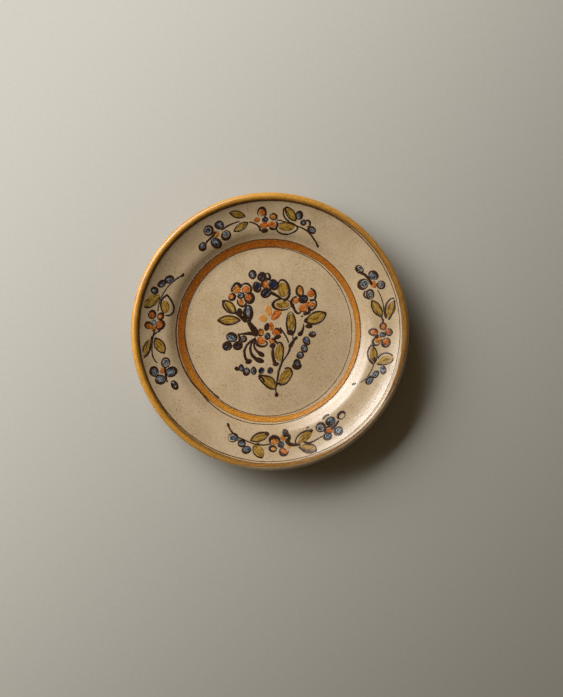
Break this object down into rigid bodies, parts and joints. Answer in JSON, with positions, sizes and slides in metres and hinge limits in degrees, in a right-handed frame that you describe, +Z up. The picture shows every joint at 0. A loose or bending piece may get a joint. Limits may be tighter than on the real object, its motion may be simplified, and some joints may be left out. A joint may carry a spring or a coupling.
{
  "type": "hand painted ceramic plate",
  "caption": "Round stoneware plate with a deep flat well, a concave flange and a rolled rim, glazed and hand painted with bands and floral sprays.",
  "frame": {"origin": "centre of the foot ring on the surface the plate stands on", "axes": "+Z up out of the dish, +Y towards the top of the painted bouquet, +X to its right"},
  "size_m": [0.2508, 0.2508, 0.0296],
  "materials": {
    "stoneware": "bare fired clay, buff and slightly sandy, left dry on the foot",
    "cream_glaze": "satin oatmeal glaze with fine dark specks",
    "ochre_band": "brushed orange-ochre banding, glossy, streaked along the stroke",
    "brown_line": "thin brown banding line",
    "brown_outline": "dark brown brush outline, slightly raised and glossy",
    "stem_brown": "near-black brown brush stroke, slightly raised and glossy",
    "cobalt": "thick cobalt blue dab, almost black where it pools",
    "slate_blue": "thin grey-blue dab",
    "orange": "orange-red dab",
    "ochre": "thin yellow-ochre dab",
    "leaf_olive": "olive-ochre leaf wash"
  },
  "bodies": {
    "root": {"stoneware_body": "stoneware", "face_glaze": "cream_glaze", "back_glaze": "cream_glaze", "recess_glaze": "cream_glaze", "rim_band": "ochre_band", "rim_line": "brown_line", "well_band": "ochre_band", "well_line_inner": "brown_line", "well_line_outer": "brown_line", "bouquet_stems": "stem_brown", "bouquet_outlines": "brown_outline", "bouquet_cobalt": "cobalt", "bouquet_blue": "slate_blue", "bouquet_orange": "orange", "bouquet_ochre": "ochre", "bouquet_leaf": "leaf_olive", "top_sprig_stem": "stem_brown", "top_sprig_outlines": "brown_outline", "top_sprig_blue": "slate_blue", "top_sprig_orange": "orange", "top_sprig_leaf": "leaf_olive", "right_sprig_stem": "stem_brown", "right_sprig_outlines": "brown_outline", "right_sprig_blue": "slate_blue", "right_sprig_orange": "orange", "right_sprig_leaf": "leaf_olive", "bottom_sprig_stem": "stem_brown", "bottom_sprig_outlines": "brown_outline", "bottom_sprig_blue": "slate_blue", "bottom_sprig_orange": "orange", "bottom_sprig_leaf": "leaf_olive", "left_sprig_stem": "stem_brown", "left_sprig_outlines": "brown_outline", "left_sprig_blue": "slate_blue", "left_sprig_orange": "orange", "left_sprig_leaf": "leaf_olive", "bottom_sprig_ochre": "ochre"}
  },
  "joints": []
}
